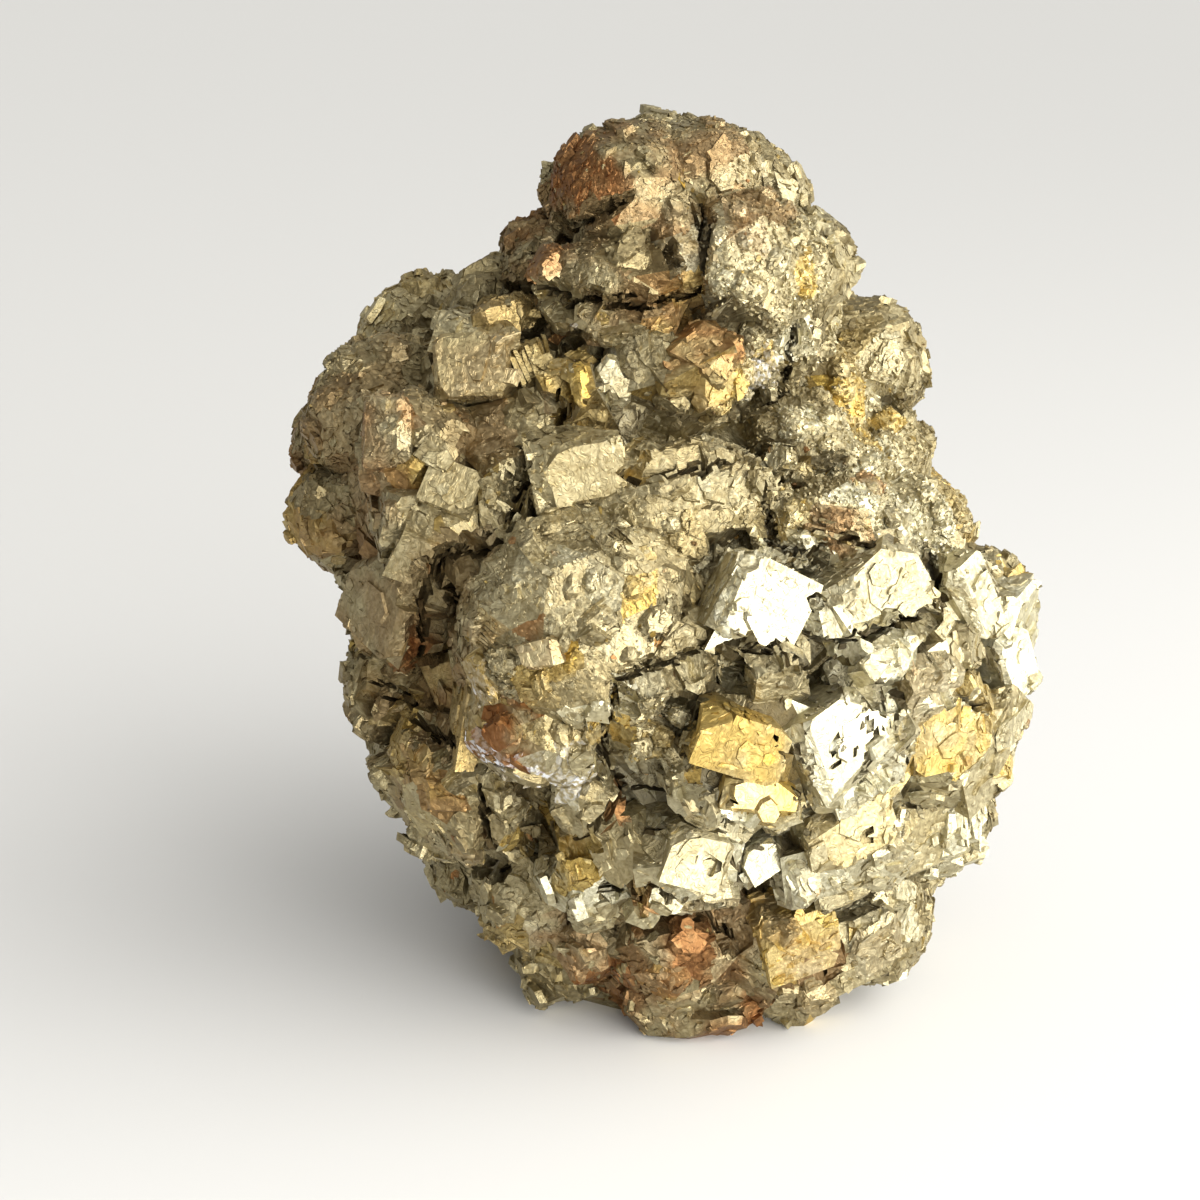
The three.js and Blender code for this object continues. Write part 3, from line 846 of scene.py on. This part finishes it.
def small(name, tries, seed, most, sizes_mm, gap, lean, stand, thick, slender, where, **kinds):
    """Tries places where they may grow, and keeps at most so many of them. The lean is in degrees. The
    gap, how far one stands out, how thick and how slender it is are shares of its size."""
    rng = np.random.default_rng(seed)
    at, outs, own, turns, bare = on_faces(tries, rng, where)
    stays = (rng.random(len(at)) > bare) & (at[:, 2] > 0.2 * MM)
    at, outs, own, turns = only(stays, at, outs, own, turns)
    across = sizes_mm[0] + (sizes_mm[1] - sizes_mm[0]) * rng.random(len(at)) ** 1.6
    across *= 1 - 0.35 * spots(at, fine_spots)
    kept = thinned(at, across * gap * MM)[:most]
    at, outs, own, turns, across = only(kept, at, outs, own, turns, across)
    count = len(at)
    turns = nudged(turns, lean[0] + (lean[1] - lean[0]) * rng.random(count) ** 1.5, rng)
    sizes = np.stack([across, across * rng.uniform(*slender, count),
                      np.maximum(across * thick, 0.25)], 1) * MM
    held = lies_on_all_round(at, turns, sizes)
    at, outs, own, turns, sizes, across = only(held, at, outs, own, turns, sizes, across)
    proud = rng.uniform(*stand, len(at)) * across * MM
    shape = picked(len(at), rng, **kinds)
    batch = crystals(at, outs, own, turns, sizes, proud, shape, 0.4, rng, groove_openness(at, outs))
    pieces.append(add_object(name, crystal_mesh(name, in_the_open(batch, 0.5))))


def in_druse(points):
    return spots(points, druse_spots + grain_spots)


def in_fine(points):
    return np.maximum(spots(points, knob_spots), 0.5 * spots(points, fine_spots)) * (1 - in_druse(points))


def not_in_druse(points):
    return 1 - in_druse(points)


small("scales", 26000, 31, 9000, (0.8, 2.0), 0.5, (1, 12), (0.01, 0.06), 0.25, (0.4, 1),
      not_in_druse, scale=1)
small("flakes", 60000, 34, 11000, (0.5, 1.4), 0.5, (2, 18), (0.02, 0.1), 0.35, (0.3, 0.8),
      not_in_druse, scale=1)
small("slivers", 70000, 35, 14000, (0.4, 1.2), 0.42, (3, 26), (0.04, 0.16), 0.4, (0.15, 0.5),
      not_in_druse, scale=1)
small("chips", 20000, 32, 1500, (0.35, 0.8), 0.9, (1, 15), (0.02, 0.1), 0.7, (0.5, 1),
      not_in_druse, chip=1)
small("sugar", 36000, 36, 7500, (0.35, 0.8), 0.5, (3, 35), (0.04, 0.22), 0.6, (0.5, 1),
      in_fine, scale=1, grain=1)
small("druse", 40000, 33, 11000, (0.36, 0.72), 0.48, (5, 60), (0.12, 0.35), 0.7, (0.5, 1),
      in_druse, grain=1)
bpy.data.objects.remove(skin)

# Painted shade: the faces that look down count as less open, so the finish paints them darker and rougher.
for piece in pieces:
    layer = piece.data.attributes["open"].data
    under = np.clip(-read(piece.data.polygons, "normal")[:, 2] - 0.1, 0, 1)
    layer.foreach_set("value", (read(layer, "value", 1) * (1 - 0.25 * under)).astype(np.float32))

# The finish.


class Wire:
    """A shader socket that sums can be written with: each operator adds its Math node."""

    tree = None

    def __init__(self, socket):
        self.socket = socket

    @classmethod
    def node(cls, kind, settings=None, inputs=None, output=0):
        """Adds a node: its settings first, then the values or wires of its inputs. Gives one output."""
        node = cls.tree.nodes.new(kind)
        for name, value in (settings or {}).items():
            if name == "stops":
                while len(node.color_ramp.elements) < len(value):
                    node.color_ramp.elements.new(1)
                for element, (position, colour) in zip(node.color_ramp.elements, value):
                    element.position, element.color = position, (*colour, 1)
            else:
                setattr(node, name, value)
        for name, value in (inputs or {}).items():
            if isinstance(value, Wire):
                cls.tree.links.new(value.socket, node.inputs[name])
            else:
                node.inputs[name].default_value = value
        return cls(node.outputs[output])

    def sum(self, operation, other=0, swapped=False):
        first, second = (other, self) if swapped else (self, other)
        return Wire.node("ShaderNodeMath", {"operation": operation}, {0: first, 1: second})

    def __add__(self, other):
        return self.sum("ADD", other)

    def __mul__(self, other):
        return self.sum("MULTIPLY", other)

    def __sub__(self, other):
        return self.sum("SUBTRACT", other)

    def __rsub__(self, other):
        return self.sum("SUBTRACT", other, swapped=True)

    __radd__, __rmul__ = __add__, __mul__


def ramp(value, low_end, high_end):
    """Rises smoothly from 0 to 1 between the two ends."""
    return Wire.node("ShaderNodeMapRange", {"interpolation_type": "SMOOTHSTEP"},
                     {"Value": value, "From Min": low_end, "From Max": high_end})


def mixed(share, first, second):
    return Wire.node("ShaderNodeMix", {"data_type": "RGBA"},
                     {0: share, 6: first, 7: second}, output=2)


def noise(at, scale, detail, rough=0.5, flat=False, output=0):
    return Wire.node("ShaderNodeTexNoise", {"noise_dimensions": "2D" if flat else "3D"},
                     {"Vector": at, "Scale": scale, "Detail": detail, "Roughness": rough}, output)


def vector(operation, first, second, third=(0, 0, 0), output=0):
    return Wire.node("ShaderNodeVectorMath", {"operation": operation},
                     {0: first, 1: second, 2: third}, output)


def marcasite():
    material = bpy.data.materials.new("marcasite")
    material.use_nodes = True
    Wire.tree = material.node_tree
    shader = material.node_tree.nodes["Principled BSDF"]
    node = Wire.node
    spot = node("ShaderNodeTexCoord", output="Object")
    tone, gilt, rust, bare, dust, free, groove, rim = (
        node("ShaderNodeAttribute", {"attribute_name": name}, output="Fac")
        for name in (*carried[1:], "rim"))
    clouds = noise(spot, 260, 2, 0.6)
    specks = noise(spot, 2800, 1, 0.7)

    # The metal is bronze where it is dull and silver where it is pale, and tarnishes to gold and copper.
    level = tone * 0.5 + clouds * 0.4 + specks * 0.6 - 0.24
    metals = [[(0, (0.13, 0.1, 0.05)), (0.35, (0.28, 0.23, 0.12)), (0.65, (0.47, 0.415, 0.255)),
               (1, (0.78, 0.735, 0.555))],
              [(0, (0.14, 0.115, 0.06)), (0.4, (0.35, 0.32, 0.205)), (0.7, (0.6, 0.57, 0.41)),
               (1, (0.88, 0.86, 0.7))],
              [(0, (0.22, 0.13, 0.03)), (0.5, (0.5, 0.34, 0.075)), (1, (0.86, 0.66, 0.19))],
              [(0, (0.1, 0.036, 0.015)), (0.4, (0.25, 0.115, 0.04)), (1, (0.58, 0.34, 0.13))]]
    bronze, silver, gold, copper = (node("ShaderNodeValToRGB", {"stops": stops}, {"Fac": level})
                                    for stops in metals)
    colour = mixed(ramp(tone, 0.5, 0.95), bronze, silver)
    colour = mixed(gilt * (0.35 + 0.65 * ramp(clouds, 0.35, 0.55)), colour, gold)
    colour = mixed(rust * ramp(clouds, 0.68, 0.42), colour, copper)

    # Growth ended in layers, so each face is a flight of low steps with curved, ragged edges.
    grain = node("ShaderNodeUVMap", {"uv_map": "grain"})
    wander = noise(grain, 1.4, 1, flat=True, output="Color")
    bent = vector("MULTIPLY_ADD", wander, (0.8, 0.8, 0.8), grain)
    drawn = vector("MULTIPLY", bent, (1.5, 0.45, 1))
    swell = noise(drawn, 0.9, 2, flat=True)
    storey = swell * (30 - 20 * bare)
    riser = ramp(storey.sum("FRACT"), 0.66, 1)
    layers = storey.sum("FLOOR") + riser
    line = riser * (1 - riser) * 4

    # Between the steps a face is broken into small facets, each leaning its own way.
    cell = node("ShaderNodeTexVoronoi", {"voronoi_dimensions": "2D"},
                {"Vector": bent, "Scale": 1.7, "Randomness": 1}, output="Color")
    centre = Wire(cell.socket.node.outputs["Position"])
    lean = vector("SUBTRACT", cell, (0.5, 0.5, 0.5))
    facet = vector("DOT_PRODUCT", vector("SUBTRACT", bent, centre), lean, output="Value")
    relief = layers * (0.00005 - 0.00003 * bare) + facet * (1 - bare) * 0.00022
    relief = relief + specks * (0.00006 - 0.00004 * bare)
    bump = node("ShaderNodeBump", inputs={"Height": relief, "Distance": 1, "Strength": 0.8})

    # Painted shade: the colour darkens in the crevices and the grooves, along the steps and around the
    # small scales, where shadow falls.
    shade = ramp(free, 0.35, 0.9)
    outline = ramp(rim, 0.84, 0.99)
    line = line * ramp(clouds, 0.38, 0.56)
    painted_shade = (1 - shade) * 0.65 + line * (0.7 - 0.5 * bare) + outline * ramp(clouds, 0.4, 0.6) * 0.5
    painted_shade = painted_shade + (1 - ramp(groove, 0.15, 0.7)) * 0.5
    # The painted shade's dark brown, laid over the metal's colour.
    colour = mixed(painted_shade.sum("MINIMUM", 0.88), colour, (0.07, 0.048, 0.02, 1))
    colour = mixed(dust * ramp(specks, 0.4, 0.6), colour, (0.6, 0.62, 0.66, 1))
    rough = 0.38 + specks * 0.28 + (1 - shade) * 0.2 + dust * 0.3
    finished = {"Base Color": colour, "Metallic": 1 - dust * 0.9, "Roughness": rough, "Normal": bump}
    for name, wire in finished.items():
        material.node_tree.links.new(wire.socket, shader.inputs[name])
    return material


finish = marcasite()
for piece in pieces:
    piece.data.materials.clear()
    piece.data.materials.append(finish)
    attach(piece, "root")
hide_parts("nodule")

# The floor, the light and the camera.
floor_bm = bmesh.new()
bmesh.ops.create_grid(floor_bm, x_segments=1, y_segments=1, size=40)
floor = add_object("floor", mesh_of(floor_bm, "floor"))
floor_paint = bpy.data.materials.new("floor")
floor_paint.use_nodes = True
floor_shader = floor_paint.node_tree.nodes["Principled BSDF"]
floor_shader.inputs["Base Color"].default_value = (0.61, 0.61, 0.602, 1)
floor_shader.inputs["Roughness"].default_value = 0.9
floor.data.materials.append(floor_paint)

world = bpy.data.worlds.new("room")
bpy.context.scene.world = world
world.use_nodes = True
Wire.tree = world.node_tree
way = Wire.node("ShaderNodeTexCoord", output="Generated")
parts = Wire.node("ShaderNodeSeparateXYZ", inputs={"Vector": way})
right, back, up = (Wire(parts.socket.node.outputs[number]) for number in range(3))
window_way = right * 0.85 - back * 0.5 + up * 0.1
strength = 0.34 + 3.2 * ramp(window_way, 0.15, 0.95) + 0.3 * ramp(up, 0.3, 0.9)
background = world.node_tree.nodes["Background"]
world.node_tree.links.new(strength.socket, background.inputs["Strength"])
background.inputs["Color"].default_value = (1, 0.985, 0.95, 1)
bpy.context.scene.view_settings.view_transform = "Standard"

middle = place(50, 50, 50)


def soft_light(name, at, width, watts, colour):
    lamp = bpy.data.lights.new(name, "AREA")
    lamp.size = width
    lamp.energy = watts
    lamp.color = colour
    light = add_object(name, lamp)
    light.location = at
    light.rotation_euler = (middle - Vector(at)).to_track_quat("-Z", "Y").to_euler()


soft_light("window", (0.25, -0.08, 0.12), 0.25, 0.35, (1, 0.97, 0.92))
soft_light("front", (0.25, -0.22, 0.14), 0.32, 0.8, (1, 0.98, 0.95))
soft_light("low", (0.13, -0.28, 0.022), 0.2, 1.45, (1, 0.98, 0.95))

looks_down = math.radians(18)
far = 160 * MM
aim = Vector((middle.x - 4.2 * MM, middle.y, low.z + 26.7 * MM))
lens = bpy.data.cameras.new("camera")
lens.lens = 70
lens.sensor_width = 36
lens.clip_start = 0.01
camera = add_object("camera", lens)
camera.location = aim + far * Vector((0, -math.cos(looks_down), math.sin(looks_down)))
camera.rotation_euler = Euler((math.pi / 2 - looks_down, 0, 0))
bpy.context.scene.camera = camera
